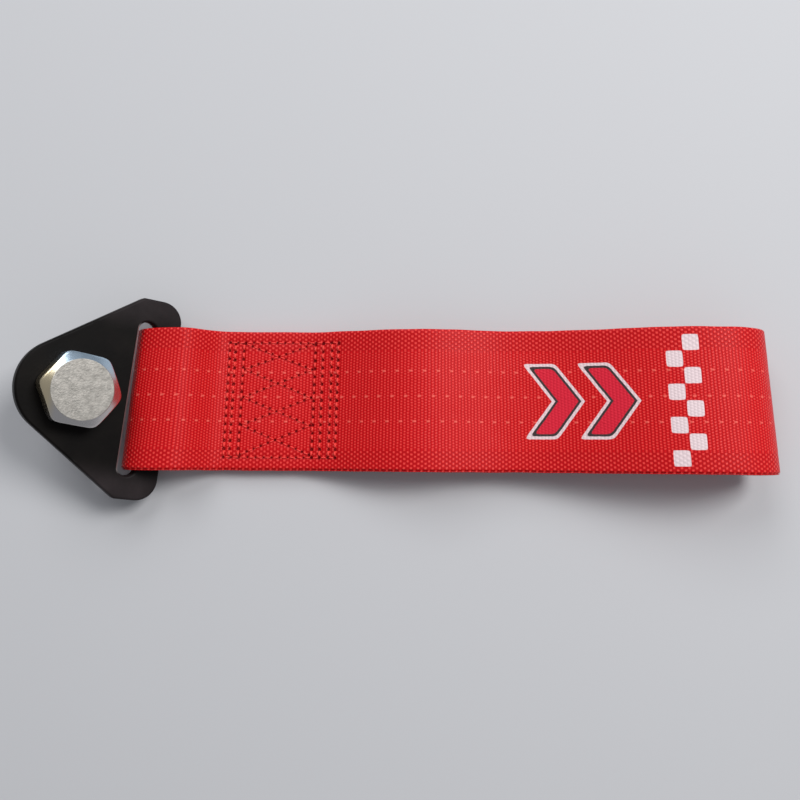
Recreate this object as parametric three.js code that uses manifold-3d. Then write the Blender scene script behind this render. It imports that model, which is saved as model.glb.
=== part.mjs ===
// A tow strap as it lies on the ground. A loop of flat webbing is sewn back on itself into an eye,
// the eye holds the slotted bar of a steel plate, and a hexagon bolt stands in the plate's hole.
// Millimetres. +X runs along the strap from the bolt to the loop's end, +Y across it, +Z up.
import * as THREE from "three";
import { mergeVertices } from "three/addons/utils/BufferGeometryUtils.js";
import Module from "manifold-3d";

// Webbing
const webWidth = 50;
const webThickness = 1.8;
const sewnLength = 41; // the stack of three sewn layers
const eyeLength = 24.5; // from the bar's axis to the stack
const humpDistance = 8; // from the bar's axis to the web's highest place over the eye
const humpRise = 2.1; // how much higher that is than a tight wrap
const flatStackLength = 25.5; // of the stack, before its end lifts into the first wave
const crestDistance = 29.5; // from the stack to the crest of the first wave
const crestHeight = 16.8;
const dipDistance = 29; // from the crest to the dip
const dipHeight = 11.8;
const foldDistance = 73; // from the dip to the top of the end fold
const foldHeight = 28;
const foldReach = 19.5; // how far the end fold bulges past its top
const returnLength = 26; // over which the returning web comes up off the ground to the stack
const sampleLength = 4; // between two points of the web's side view
const quarterSteps = 8; // points on a quarter turn of the web

// How far the weft leans from square to the strap, in degrees
const leanAtBar = 7.5;
const leanAtStack = 2.6;
const leanAfterStack = 1.3;
const leanAtFold = -5.5;

// Plate
const plateThickness = 5;
const plateWidth = 71;
const noseRadius = 16.9;
const noseOffset = 2.5; // the nose's centre lies this far beyond the hole
const slantAngle = 35.3; // between the plate's middle line and its slanted edges
const holeToSlot = 18.1; // from the hole's centre to the slot's near edge
const slotWidth = 6.5;
const slotPlay = 2.3; // free space at each end of the slot beside the web
const barWidth = 8.3;
const earRadius = 7.4;
const edgeRounding = 0.8;
const plateSlip = -0.7; // how far the plate has slid along its bar

// Bolt
const threadRadius = 7.9;
const boltLength = 25;
const tipChamfer = 0.9;
const acrossFlats = 24;
const headHeight = 10;
const headCornerRadius = 13.3; // the forged corners are rounded off at this radius
const headFaceRadius = 11;
const headChamferAngle = 30;
const washerFaceRadius = 11.1;
const washerFaceHeight = 0.6;
const boltTurn = -3.2; // degrees from a corner pointing along the plate's middle line
const aroundBolt = 48; // sides of the turned surfaces

// Clearances
const holeClearance = 0.6; // all round the thread
const runningGap = 0.3; // between touching pieces

const radians = THREE.MathUtils.degToRad;
const wasm = await Module();
wasm.setup();

// The height of the middle of the nth layer of web above the ground
const layerHeight = (n) => webThickness * (n - 0.5);

const barSweep = Math.hypot(barWidth, plateThickness) / 2; // the bar turns inside this radius
const pivotHeight = webThickness + runningGap + barSweep;
const pivotToHole = barWidth / 2 + slotWidth + holeToSlot;
const slotLength = webWidth + 2 * slotPlay;

// A place on the web's middle line, with the unit vector towards the outside of the loop.
// dx and dz say which way the web runs there: back along the ground, over the top and round.
function place(x, z, dx, dz) {
  const length = Math.hypot(dx, dz);
  return { x, z, outX: -dz / length, outZ: dx / length };
}

// The height and slope at x of a smooth rise or fall between two level ends
function easeBetween(from, to, x) {
  const turn = (Math.PI * (x - from.x)) / (to.x - from.x);
  const rise = to.z - from.z;
  const z = from.z + (rise * (1 - Math.cos(turn))) / 2;
  return { z, slope: (rise * Math.PI * Math.sin(turn)) / (2 * (to.x - from.x)) };
}

// Places after startX and up to endX on the rise or fall between two level ends
function levelToLevel(from, to, startX = from.x, endX = to.x) {
  const run = endX - startX;
  const steps = Math.max(2, Math.round(Math.abs(run) / sampleLength));
  const places = [];
  for (let i = 1; i <= steps; i++) {
    const x = startX + (run * i) / steps;
    const { z, slope } = easeBetween(from, to, x);
    places.push(place(x, z, Math.sign(run), Math.sign(run) * slope));
  }
  return places;
}

// Places on a clockwise quarter of an ellipse that starts at startAngle
function quarterTurn(centre, reach, rise, startAngle) {
  const places = [];
  for (let i = 1; i <= quarterSteps; i++) {
    const angle = startAngle - (Math.PI / 2) * (i / quarterSteps);
    const cos = Math.cos(angle);
    const sin = Math.sin(angle);
    places.push(place(centre.x + reach * cos, centre.z + rise * sin, reach * sin, -rise * cos));
  }
  return places;
}

// The level places that the web's side view passes
const halfThickness = webThickness / 2;
const ground = layerHeight(1);
const eyeReach = barWidth / 2 + slotWidth / 2; // the web passes through the middle of the slot
const stackStart = eyeLength;
const stackEnd = stackStart + sewnLength;
const liftStart = { x: stackStart + flatStackLength, z: layerHeight(3) };
const hump = { x: humpDistance, z: pivotHeight + barSweep + runningGap + halfThickness + humpRise };
const crest = { x: stackEnd + crestDistance, z: crestHeight - halfThickness };
const dip = { x: crest.x + dipDistance, z: dipHeight - halfThickness };
const foldTop = { x: dip.x + foldDistance, z: foldHeight - halfThickness };
const foldCentre = { x: foldTop.x, z: (foldTop.z + ground) / 2 };
const foldHalfHeight = (foldTop.z - ground) / 2;
const foldEndX = foldTop.x + foldReach;
const stackEndRise = easeBetween(liftStart, crest, stackEnd);

// From the tail's top of the stack, round the bar and back to the stack
function eyePlaces() {
  return [
    place(stackStart, ground, -1, 0),
    place(0, ground, -1, 0),
    ...quarterTurn({ x: 0, z: pivotHeight }, eyeReach, pivotHeight - ground, -Math.PI / 2),
    ...quarterTurn({ x: hump.x, z: pivotHeight }, hump.x + eyeReach, hump.z - pivotHeight, Math.PI),
    ...levelToLevel(hump, { x: stackStart, z: layerHeight(3) }),
  ];
}

// The returning web from the ground to the stack, where it has the stack's own slope
function returnPlaces() {
  const steps = Math.round(returnLength / sampleLength);
  const endZ = stackEndRise.z - webThickness;
  const places = [];
  for (let i = 1; i <= steps; i++) {
    const back = 1 - i / steps;
    const z = ground + (endZ - ground) * (1 - back) ** 2 * (1 + 2 * back);
    const bulge = stackEndRise.slope * returnLength * back * (1 - back) ** 2;
    const fall = 6 * (endZ - ground) * back * (1 - back);
    const bulgeFall = stackEndRise.slope * returnLength * (1 - back) * (1 - 3 * back);
    places.push(place(stackEnd + returnLength * back, z + bulge, -returnLength, fall - bulgeFall));
  }
  return places;
}

// From the stack, over the waves, round the end fold and back to the stack
function loopPlaces() {
  const reach = foldReach - halfThickness;
  const leaveGround = { x: stackEnd + returnLength, z: ground };
  return [
    place(stackEnd, stackEndRise.z, 1, stackEndRise.slope),
    ...levelToLevel(liftStart, crest, stackEnd, crest.x),
    ...levelToLevel(crest, dip),
    ...levelToLevel(dip, foldTop),
    ...quarterTurn(foldCentre, reach, foldHalfHeight, Math.PI / 2),
    ...quarterTurn(foldCentre, reach, foldHalfHeight, 0),
    ...levelToLevel({ x: foldTop.x, z: ground }, leaveGround),
    ...returnPlaces(),
  ];
}

const outside = (p) => new THREE.Vector2(p.x + p.outX * halfThickness, p.z + p.outZ * halfThickness);
const inside = (p) => new THREE.Vector2(p.x - p.outX * halfThickness, p.z - p.outZ * halfThickness);

// How far the weft leans at a distance from the bar's axis, in radians
function leanAt(x) {
  const stations = [
    [0, leanAtBar],
    [stackStart, leanAtStack],
    [stackEnd, leanAfterStack],
    [foldEndX, leanAtFold],
  ];
  if (x <= 0) return radians(leanAtBar);
  const next = stations.findIndex(([at]) => at >= x);
  if (next < 0) return radians(leanAtFold);
  const [fromX, fromLean] = stations[next - 1];
  const [toX, toLean] = stations[next];
  return radians(THREE.MathUtils.mapLinear(x, fromX, toX, fromLean, toLean));
}

// The whole web as one strip, sewn together along the stack
function webbingGeometry() {
  const eye = eyePlaces();
  const loop = loopPlaces();
  const stackLift = [place(liftStart.x, liftStart.z, 1, 0)];
  stackLift.push(...levelToLevel(liftStart, crest, liftStart.x, stackEnd));
  const stackHeight = layerHeight(3) + halfThickness;
  const underside = stackLift.map((p) => new THREE.Vector2(p.x, p.z + halfThickness - stackHeight));
  const sideView = new THREE.Shape([
    ...eye.map(outside),
    ...stackLift.slice(0, -1).map(outside),
    ...loop.map(outside),
    ...underside.reverse(),
  ]);
  sideView.holes.push(new THREE.Path(eye.map(inside).reverse()));
  sideView.holes.push(new THREE.Path(loop.map(inside).reverse()));
  const geometry = new THREE.ExtrudeGeometry(sideView, { depth: webWidth, bevelEnabled: false });
  geometry.translate(0, 0, -webWidth / 2);
  geometry.rotateX(Math.PI / 2);
  const position = geometry.getAttribute("position");
  for (let i = 0; i < position.count; i++) {
    const x = position.getX(i);
    position.setX(i, x + position.getY(i) * Math.tan(leanAt(x)));
  }
  geometry.computeVertexNormals();
  return geometry;
}

// The plate flat in its own frame: the bar's axis at the origin, the nose towards -X, thickness in Z
function plateGeometry() {
  const slant = radians(slantAngle);
  const noseX = -pivotToHole - noseOffset;
  const halfWidth = plateWidth / 2;
  const barEdge = barWidth / 2;
  const slantStart = { x: noseX - noseRadius * Math.sin(slant), y: noseRadius * Math.cos(slant) };
  const slantEndX = slantStart.x + (halfWidth - slantStart.y) / Math.tan(slant);
  const earX = barEdge - earRadius;
  const earY = halfWidth - earRadius;
  const right = Math.PI / 2;

  const outline = new THREE.Shape();
  outline.moveTo(slantEndX, -halfWidth);
  outline.lineTo(earX, -halfWidth);
  outline.absarc(earX, -earY, earRadius, -right, 0);
  outline.lineTo(barEdge, earY);
  outline.absarc(earX, earY, earRadius, 0, right);
  outline.lineTo(slantEndX, halfWidth);
  outline.absarc(noseX, 0, noseRadius, right + slant, 3 * right - slant);
  outline.closePath();

  const hole = new THREE.Path();
  const holeRadius = threadRadius + holeClearance;
  hole.absarc(-pivotToHole, 0, holeRadius, 0, Math.PI);
  hole.absarc(-pivotToHole, 0, holeRadius, Math.PI, 2 * Math.PI);

  const slot = new THREE.Path();
  const slotX = -barEdge - slotWidth / 2;
  const slotEndY = (slotLength - slotWidth) / 2;
  slot.absarc(slotX, slotEndY, slotWidth / 2, 0, Math.PI);
  slot.absarc(slotX, -slotEndY, slotWidth / 2, Math.PI, 2 * Math.PI);
  outline.holes.push(hole, slot);

  const geometry = new THREE.ExtrudeGeometry(outline, {
    depth: plateThickness - 2 * edgeRounding,
    curveSegments: 10,
    bevelThickness: edgeRounding,
    bevelSize: edgeRounding,
    bevelOffset: -edgeRounding,
    bevelSegments: 2,
  });
  geometry.translate(0, 0, edgeRounding - plateThickness / 2);
  return geometry;
}

function solidFrom(geometry) {
  const bare = geometry.clone();
  bare.deleteAttribute("normal");
  bare.deleteAttribute("uv");
  const merged = mergeVertices(bare, 1e-4);
  return new wasm.Manifold(
    new wasm.Mesh({
      numProp: 3,
      vertProperties: new Float32Array(merged.getAttribute("position").array),
      triVerts: new Uint32Array(merged.index.array),
    }),
  );
}

function geometryFrom(solid) {
  const mesh = solid.getMesh();
  const geometry = new THREE.BufferGeometry();
  geometry.setAttribute("position", new THREE.BufferAttribute(mesh.vertProperties, 3));
  geometry.setIndex(new THREE.BufferAttribute(mesh.triVerts, 1));
  geometry.computeVertexNormals();
  return geometry;
}

// A turned solid from its half section, as [radius, height] pairs from the axis back to the axis
function turned(section) {
  const points = section.map(([radius, height]) => new THREE.Vector2(radius, height));
  return solidFrom(new THREE.LatheGeometry(points, aroundBolt).rotateX(Math.PI / 2));
}

// The bolt upright on its axis, with the underside of its head at height 0
function boltGeometry() {
  const cornerRadius = acrossFlats / 2 / Math.cos(Math.PI / 6);
  const hexHeight = headHeight - washerFaceHeight;
  const hexagon = new THREE.CylinderGeometry(cornerRadius, cornerRadius, hexHeight, 6);
  hexagon.rotateX(Math.PI / 2);
  hexagon.rotateZ(Math.PI / 6);
  hexagon.translate(0, 0, washerFaceHeight + hexHeight / 2);
  const chamferDrop = (headCornerRadius - headFaceRadius) * Math.tan(radians(headChamferAngle));
  const forged = turned([
    [0, 0],
    [headCornerRadius, 0],
    [headCornerRadius, headHeight - chamferDrop],
    [headFaceRadius, headHeight],
    [0, headHeight],
  ]);
  const shank = turned([
    [0, -boltLength],
    [threadRadius - tipChamfer, -boltLength],
    [threadRadius, tipChamfer - boltLength],
    [threadRadius, 0],
    [washerFaceRadius, 0],
    [washerFaceRadius, 2 * washerFaceHeight],
    [0, 2 * washerFaceHeight],
  ]);
  return geometryFrom(solidFrom(hexagon).intersect(forged).add(shank));
}

// The plate leans on the edge of the bolt's tip: the angle that puts that edge on the ground
function restTilt() {
  const along = pivotToHole - (threadRadius - tipChamfer);
  const down = boltLength - runningGap - plateThickness / 2;
  return Math.atan2(down, along) - Math.asin(pivotHeight / Math.hypot(along, down));
}

function namedMesh(name, geometry, color, roughness, metalness) {
  const material = new THREE.MeshStandardMaterial({ color, roughness, metalness });
  const mesh = new THREE.Mesh(geometry, material);
  mesh.name = name;
  return mesh;
}

const webbing = namedMesh("webbing", webbingGeometry(), 0xc4202a, 0.75, 0);
const plate = namedMesh("plate", plateGeometry(), 0x141312, 0.45, 0.2);
const bolt = namedMesh("bolt", boltGeometry(), 0xa8a8a2, 0.35, 1);
bolt.position.set(-pivotToHole, 0, plateThickness / 2 + runningGap);
bolt.rotation.z = radians(boltTurn);

// Everything that turns about the bar, in the plate's own frame
const swinging = new THREE.Group();
swinging.add(plate, bolt);
swinging.rotation.set(0, restTilt(), -radians(leanAtBar), "ZYX");
swinging.position.set(Math.sin(radians(leanAtBar)), Math.cos(radians(leanAtBar)), 0);
swinging.position.multiplyScalar(plateSlip);
swinging.position.z = pivotHeight;

// The whole strap, moved so that the middle of its underside is the origin
const strap = new THREE.Group();
strap.add(webbing, swinging);
const box = new THREE.Box3().setFromObject(strap, true);
const middle = box.getCenter(new THREE.Vector3());
strap.position.set(-middle.x, -middle.y, -box.min.z);

const towStrap = new THREE.Group();
towStrap.add(strap);
export default towStrap;
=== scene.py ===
# %% [markdown]
# Tow strap: one strip of red webbing sewn into a loop, a black steel plate in its eye,
# and a zinc-plated bolt through the plate. The frame gives the place and size of each,
# so every piece below is built where the solids are, in metres.

# %% Load the frame
import bisect
import math
import random
import bpy
from mathutils import Matrix, Vector, geometry, noise


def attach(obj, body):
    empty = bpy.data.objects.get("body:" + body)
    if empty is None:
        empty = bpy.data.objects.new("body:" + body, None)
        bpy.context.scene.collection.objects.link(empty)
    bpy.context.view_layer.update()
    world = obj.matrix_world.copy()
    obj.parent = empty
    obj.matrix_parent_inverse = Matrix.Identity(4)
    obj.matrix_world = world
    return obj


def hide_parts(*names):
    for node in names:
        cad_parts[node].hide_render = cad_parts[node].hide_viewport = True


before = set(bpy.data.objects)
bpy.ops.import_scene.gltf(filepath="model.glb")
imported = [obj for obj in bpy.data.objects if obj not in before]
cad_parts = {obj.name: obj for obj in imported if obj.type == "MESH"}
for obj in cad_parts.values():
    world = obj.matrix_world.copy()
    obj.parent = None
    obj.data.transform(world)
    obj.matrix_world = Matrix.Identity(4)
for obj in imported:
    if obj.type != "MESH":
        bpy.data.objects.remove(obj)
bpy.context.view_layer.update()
MM = 0.001

# %% [markdown]
# The strap lies on a plain floor and the camera looks almost straight down on it.
# Its place was found by fitting a camera to the plate's outline, the slot and the bolt's
# corners. The lens is given by its length in pixels, for an image 800 pixels wide.

# %% Camera
IMAGE_WIDTH = 800
SENSOR_WIDTH = 36.0
FOCAL_PIXELS = 918.0
CAMERA_DISTANCE = 0.335
NEAREST_SEEN = 0.01
CAMERA_TARGET = Vector((-1.32, 0.98, 0.0)) * MM
CAMERA_ELEVATION = math.radians(86.36)
CAMERA_YAW = math.radians(0.35)
CAMERA_ROLL = math.radians(0.06)

towards_camera = Vector((
    math.cos(CAMERA_ELEVATION) * math.sin(CAMERA_YAW),
    -math.cos(CAMERA_ELEVATION) * math.cos(CAMERA_YAW),
    math.sin(CAMERA_ELEVATION),
))
camera = bpy.data.objects.new("camera", bpy.data.cameras.new("camera"))
camera.data.sensor_width = SENSOR_WIDTH
camera.data.lens = SENSOR_WIDTH * FOCAL_PIXELS / IMAGE_WIDTH
camera.data.clip_start = NEAREST_SEEN
level = Vector((math.cos(CAMERA_YAW), math.sin(CAMERA_YAW), 0.0))
upward = towards_camera.cross(level)
camera_right = level * math.cos(CAMERA_ROLL) + upward * math.sin(CAMERA_ROLL)
camera_up = upward * math.cos(CAMERA_ROLL) - level * math.sin(CAMERA_ROLL)
camera.matrix_world = Matrix.Translation(CAMERA_TARGET + towards_camera * CAMERA_DISTANCE) @ Matrix(
    (camera_right, camera_up, towards_camera)
).transposed().to_4x4()
bpy.context.collection.objects.link(camera)
bpy.context.scene.camera = camera
camera_place = [round(c, 4) for c in camera.matrix_world.translation]
print("camera lens", round(camera.data.lens, 2), "mm at", camera_place, "m")

# %% [markdown]
# A shader's sums are easier to read as sums. This small class wraps one output socket
# of a material's nodes, and each operator adds its own Math node.

# %% Shader sums
class Shade:
    """One output socket of a material, with Python's operators as Math nodes."""

    def __init__(self, tree, socket):
        self.tree = tree
        self.socket = socket

    def node(self, kind, settings=None, inputs=None, output=0):
        """Adds a node: its settings first, then the values or links of its sockets."""
        return add_node(self.tree, kind, settings, inputs, output)

    def maths(self, operation, *values):
        return self.node("ShaderNodeMath", {"operation": operation}, dict(enumerate(values)))

    def __add__(self, other):
        return self.maths("ADD", self, other)

    def __radd__(self, other):
        return self.maths("ADD", other, self)

    def __sub__(self, other):
        return self.maths("SUBTRACT", self, other)

    def __rsub__(self, other):
        return self.maths("SUBTRACT", other, self)

    def __mul__(self, other):
        return self.maths("MULTIPLY", self, other)

    def __rmul__(self, other):
        return self.maths("MULTIPLY", other, self)

    def __truediv__(self, other):
        return self.maths("DIVIDE", self, other)

    def __abs__(self):
        return self.maths("ABSOLUTE", self)

    def cosine(self):
        return self.maths("COSINE", self)

    def sine(self):
        return self.maths("SINE", self)

    def root(self):
        return self.maths("SQRT", self)

    def at_most(self, other):
        return self.maths("MINIMUM", self, other)

    def at_least(self, other):
        return self.maths("MAXIMUM", self, other)

    def wave(self, period):
        """A cosine wave of this period, from -1 to 1."""
        return (self * (2 * math.pi / period)).cosine()

    def rise(self, low, high):
        """0 below low, 1 above high and smooth between them; falls where low is above high."""
        inputs = {"Value": self, "From Min": low, "From Max": high}
        return self.node("ShaderNodeMapRange", {"interpolation_type": "SMOOTHSTEP"}, inputs)

    def colour_mix(self, first, second):
        """Mixes two colours, with this value as the second one's share."""
        inputs = {0: self, 6: first, 7: second}
        return self.node("ShaderNodeMix", {"data_type": "RGBA", "blend_type": "MIX"}, inputs, 2)


def add_node(tree, kind, settings=None, inputs=None, output=0):
    made = tree.nodes.new(kind)
    for name, value in (settings or {}).items():
        setattr(made, name, value)
    for key, value in (inputs or {}).items():
        if isinstance(value, Shade):
            tree.links.new(value.socket, made.inputs[key])
        else:
            made.inputs[key].default_value = value
    return Shade(tree, made.outputs[output])


class Finish:
    """A material with one Principled shader."""

    def __init__(self, name, **constants):
        self.material = bpy.data.materials.new(name)
        self.material.use_nodes = True
        self.tree = self.material.node_tree
        self.shader = self.tree.nodes["Principled BSDF"]
        for key, value in constants.items():
            self.shader.inputs[key.replace("_", " ")].default_value = value

    def node(self, kind, settings=None, inputs=None, output=0):
        return add_node(self.tree, kind, settings, inputs, output)

    def feed(self, key, value):
        self.tree.links.new(value.socket, self.shader.inputs[key])

    def attribute(self, name, output="Vector"):
        return self.node("ShaderNodeAttribute", {"attribute_name": name}, output=output)

    def parts(self, whole):
        """The three numbers of a vector, as three values."""
        split = self.node("ShaderNodeSeparateXYZ", None, {0: whole}).socket.node
        return [Shade(self.tree, number) for number in split.outputs]

    def relief(self, height, depth):
        """Bumps the surface by height times depth, in metres."""
        return self.node("ShaderNodeBump", None, {"Height": height, "Distance": depth})

    def cloud(self, scale, detail=2.0, roughness=0.5, vector=None):
        inputs = {"Scale": scale, "Detail": detail, "Roughness": roughness}
        inputs["Vector"] = vector or self.node("ShaderNodeTexCoord", output="Object")
        return self.node("ShaderNodeTexNoise", None, inputs)


def rgb(red, green, blue):
    """A colour given as on screen, from 0 to 255, turned into the shader's linear light."""
    def linear(value):
        share = value / 255
        return share / 12.92 if share <= 0.04045 else ((share + 0.055) / 1.055) ** 2.4
    return (linear(red), linear(green), linear(blue), 1.0)


print("middle grey in the shader's light:", round(rgb(128, 128, 128)[0], 3))


# %% [markdown]
# The webbing is one long strip. Seen from the side it starts at its tail under the sewn
# stack, goes left along the ground, round the plate's bar and back over the stack, over
# two waves to the loop's end, back along the ground and into the stack as its middle
# layer. A curve object could follow that line, but a mesh swept in code keeps the real
# layers, the rounded selvedges and an even count of threads, so it is swept here.

# %% The strip's line from the side, in millimetres from the bar's axis
STRAP_X = -88.379
STRAP_Y = -0.033
THREAD_PLY = 1.8
GROUND = 0.9
STACK_START = 24.5
STACK_END = 65.5
LIFT_START = 50.0
STACK_TOP = 4.5
STACK_END_TOP = 7.52
STACK_END_SLOPE = 0.351
CREST = (95.0, 15.9)
DIP = (124.0, 10.9)
FOLD_TOP = (197.0, 27.1)
FOLD_REACH = 18.6
HUMP = (8.0, 15.09)
EYE_MIDDLE = 6.945
EYE_REACH = 8.4
RETURN_LENGTH = 26.0
POINTS_PER_MM = 10
QUARTER_STEPS = 160


def ease(x, start, end):
    """A level-to-level cosine step between two points."""
    share = (x - start[0]) / (end[0] - start[0])
    return start[1] + (end[1] - start[1]) * (1 - math.cos(math.pi * share)) / 2


def top_line(x):
    """Height of the top layer's middle at a distance from the bar's axis."""
    knots = (HUMP, (STACK_START, STACK_TOP), (LIFT_START, STACK_TOP), CREST, DIP, FOLD_TOP)
    for start, end in zip(knots, knots[1:]):
        if x <= end[0]:
            return ease(x, start, end)
    return FOLD_TOP[1]


def straight(start, end, height):
    """Points from one x to another, a tenth of a millimetre apart."""
    steps = max(1, round(abs(end - start) * POINTS_PER_MM))
    stations = [start + (end - start) * k / steps for k in range(steps + 1)]
    return [(x, height(x)) for x in stations]


def quarter(middle, reach, rise, turn_from, turn_to):
    """Points of a quarter ellipse; turns are in degrees from straight right."""
    places = []
    for k in range(QUARTER_STEPS + 1):
        turn = math.radians(turn_from + (turn_to - turn_from) * k / QUARTER_STEPS)
        places.append((middle[0] + reach * math.cos(turn), middle[1] + rise * math.sin(turn)))
    return places


def return_height(x):
    """The lower layer's way up from the ground into the stack."""
    back = (x - STACK_END) / RETURN_LENGTH
    end = STACK_END_TOP - THREAD_PLY
    lift = (end - GROUND) * (1 - back) ** 2 * (1 + 2 * back)
    return GROUND + lift + STACK_END_SLOPE * RETURN_LENGTH * back * (1 - back) ** 2


def on_ground(x):
    return GROUND


def strip_line():
    fold_middle = (FOLD_TOP[0], (FOLD_TOP[1] + GROUND) / 2)
    fold_rise = (FOLD_TOP[1] - GROUND) / 2
    hump_rise = HUMP[1] - EYE_MIDDLE
    return [
        straight(STACK_END, STACK_START, lambda x: top_line(x) - 2 * THREAD_PLY),
        straight(STACK_START, 0.0, on_ground),
        quarter((0.0, EYE_MIDDLE), EYE_REACH, EYE_MIDDLE - GROUND, 270, 180),
        quarter((HUMP[0], EYE_MIDDLE), EYE_REACH + HUMP[0], hump_rise, 180, 90),
        straight(HUMP[0], FOLD_TOP[0], top_line),
        quarter(fold_middle, FOLD_REACH, fold_rise, 90, -90),
        straight(FOLD_TOP[0], STACK_END + RETURN_LENGTH, on_ground),
        straight(STACK_END + RETURN_LENGTH, STACK_END, return_height),
        straight(STACK_END, STACK_START, lambda x: top_line(x) - THREAD_PLY),
    ]


line = []
for run in strip_line():
    line.extend(run if not line else run[1:])
reach_along = [0.0]
for (x0, z0), (x1, z1) in zip(line, line[1:]):
    reach_along.append(reach_along[-1] + math.hypot(x1 - x0, z1 - z0))
STRIP_LENGTH = reach_along[-1]
print("strip length", round(STRIP_LENGTH, 1), "mm from", len(line), "points")


# %% [markdown]
# A place on the strip is given as a length along it, a distance across it and a lift off
# its middle line. The direction there is taken over a few points on each side, so that
# the strip turns smoothly from one stretch into the next.

# %% Where a point of the strip lies
LEAN_STATIONS = ((0.0, 5.8), (STACK_START, 2.6), (STACK_END, 1.3), (216.5, -5.5))
POINTS_AROUND = 5
TOP_OF_HUMP = next(
    k for k, (x, z) in enumerate(line) if abs(x - HUMP[0]) < 1e-6 and z > EYE_MIDDLE
)


def lean_at(x):
    """How far the cross threads lean, as a tangent: the loop was laid down a little askew."""
    if x <= 0:
        return math.tan(math.radians(LEAN_STATIONS[0][1]))
    for (x0, lean0), (x1, lean1) in zip(LEAN_STATIONS, LEAN_STATIONS[1:]):
        if x <= x1:
            return math.tan(math.radians(lean0 + (lean1 - lean0) * (x - x0) / (x1 - x0)))
    return math.tan(math.radians(LEAN_STATIONS[-1][1]))


def point_along(s):
    """The middle line's point and direction at a length s from the tail's end."""
    s = min(max(s, 0.0), STRIP_LENGTH)
    index = min(max(bisect.bisect_right(reach_along, s), 1), len(line) - 1)
    span = reach_along[index] - reach_along[index - 1]
    share = (s - reach_along[index - 1]) / span
    low = line[max(index - 1 - POINTS_AROUND, 0)]
    high = line[min(index + POINTS_AROUND, len(line) - 1)]
    size = math.hypot(high[0] - low[0], high[1] - low[1])
    start, end = line[index - 1], line[index]
    x = start[0] + (end[0] - start[0]) * share
    z = start[1] + (end[1] - start[1]) * share
    return x, z, (high[0] - low[0]) / size, (high[1] - low[1]) / size


def strip_point(s, across, lift):
    """A point at s along and across the strip, lifted off its middle to its outer side."""
    x, z, along_x, along_z = point_along(s)
    x -= along_z * lift
    z += along_x * lift
    return Vector((x + across * lean_at(x) + STRAP_X, across + STRAP_Y, z)) * MM


def top_place(x):
    """The length s at which the top layer passes over x."""
    return next(reach_along[k] for k in range(TOP_OF_HUMP, len(line)) if line[k][0] >= x)


TOP_STACK_START = top_place(STACK_START)
TOP_STACK_END = top_place(STACK_END)
print("top of the stack, in mm along the strip:", round(TOP_STACK_START), round(TOP_STACK_END))

# %% [markdown]
# The stack is sewn with thick thread of the webbing's own red: three lines across it at
# the eye, four at the loop, one along each edge, and two zigzags between that make four
# crosses. Each stitch is a short bit of thread that comes out of one needle hole and
# goes into the next. The holes' places come first, because they also dent the webbing.

# %% Places of the stitches, in millimetres from the bar's axis and across
NEEDLE_PITCH = 2.9
CROSS_PITCH = 2.7
SEAM_TOP = 21.0
SEAM_BOTTOM = -20.2
EYE_SEAMS = (24.9, 26.9, 30.0)
LOOP_SEAMS = (56.2, 59.1, 62.4, 64.8)
CROSS_LEVELS = (20.6, 11.4, 1.3, -8.7, -19.2)
CROSS_LEFT = 30.6
CROSS_RIGHT = 55.2
SEAM_SHIFT = 0.9
SHIFT_STEP = 0.618


def sewn_line(start, end, pitch):
    """Needle holes from one place to another, with the pitch rounded to fit."""
    length = math.dist(start, end)
    count = max(1, round(length / pitch))
    return [
        (start[0] + (end[0] - start[0]) * k / count, start[1] + (end[1] - start[1]) * k / count)
        for k in range(count + 1)
    ]


seams = []
for k, x in enumerate(EYE_SEAMS + LOOP_SEAMS):
    shift = SEAM_SHIFT * ((k * SHIFT_STEP) % 1.0)
    seams.append(("across", sewn_line((x, SEAM_TOP - shift), (x, SEAM_BOTTOM), NEEDLE_PITCH)))
for edge in (SEAM_TOP, SEAM_BOTTOM):
    seams.append(("along", sewn_line((EYE_SEAMS[0], edge), (LOOP_SEAMS[-1], edge), NEEDLE_PITCH)))
for first in (CROSS_LEFT, CROSS_RIGHT):
    second = CROSS_LEFT + CROSS_RIGHT - first
    for k, (high, low) in enumerate(zip(CROSS_LEVELS, CROSS_LEVELS[1:])):
        ends = (first, second) if k % 2 == 0 else (second, first)
        seams.append(("cross", sewn_line((ends[0], high), (ends[1], low), CROSS_PITCH)))
needle_holes = [hole for kind, holes in seams for hole in holes]
print("seams", len(seams), "needle holes", len(needle_holes))

# %% [markdown]
# The webbing's mesh is a grid: rows every millimetre or so along the strip, finer where
# it is sewn, and columns every 0.6 mm across. Each row is a closed outline with rounded
# selvedges. A needle hole dents the surface round it, and the seams draw the layers
# together, so the sewn part is quilted. A point attribute keeps each point's place on
# the strip, so the weave can follow the strip round its bends.

# %% Heights of the webbing's surface
WEB_HALF = 25.0
SKIN_HALF = 0.84
EDGE_ROUND = 0.7
COLUMNS = 80
COARSE_ROW = 1.25
FINE_ROW = 0.42
HOLE_DENT = 0.34
HOLE_WIDTH = 0.55
SEAM_DENT = 0.10
SEAM_DRAW = {"across": 1.0, "along": 0.5, "cross": 0.25}
SEAM_WIDTH = 0.9
CELL = 2.0
OUTER_SIDE = 0.9
FADE_HEIGHT = 4.0
SLOW_WAVE = 0.10
QUICK_WAVE = 0.035
EDGE_WAVE = 0.16

hole_cells = {}
for hole in needle_holes:
    key = (math.floor(hole[0] / CELL), math.floor(hole[1] / CELL))
    hole_cells.setdefault(key, []).append(hole)
seam_spans = [(holes[0], holes[-1], SEAM_DRAW[kind]) for kind, holes in seams]


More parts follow.
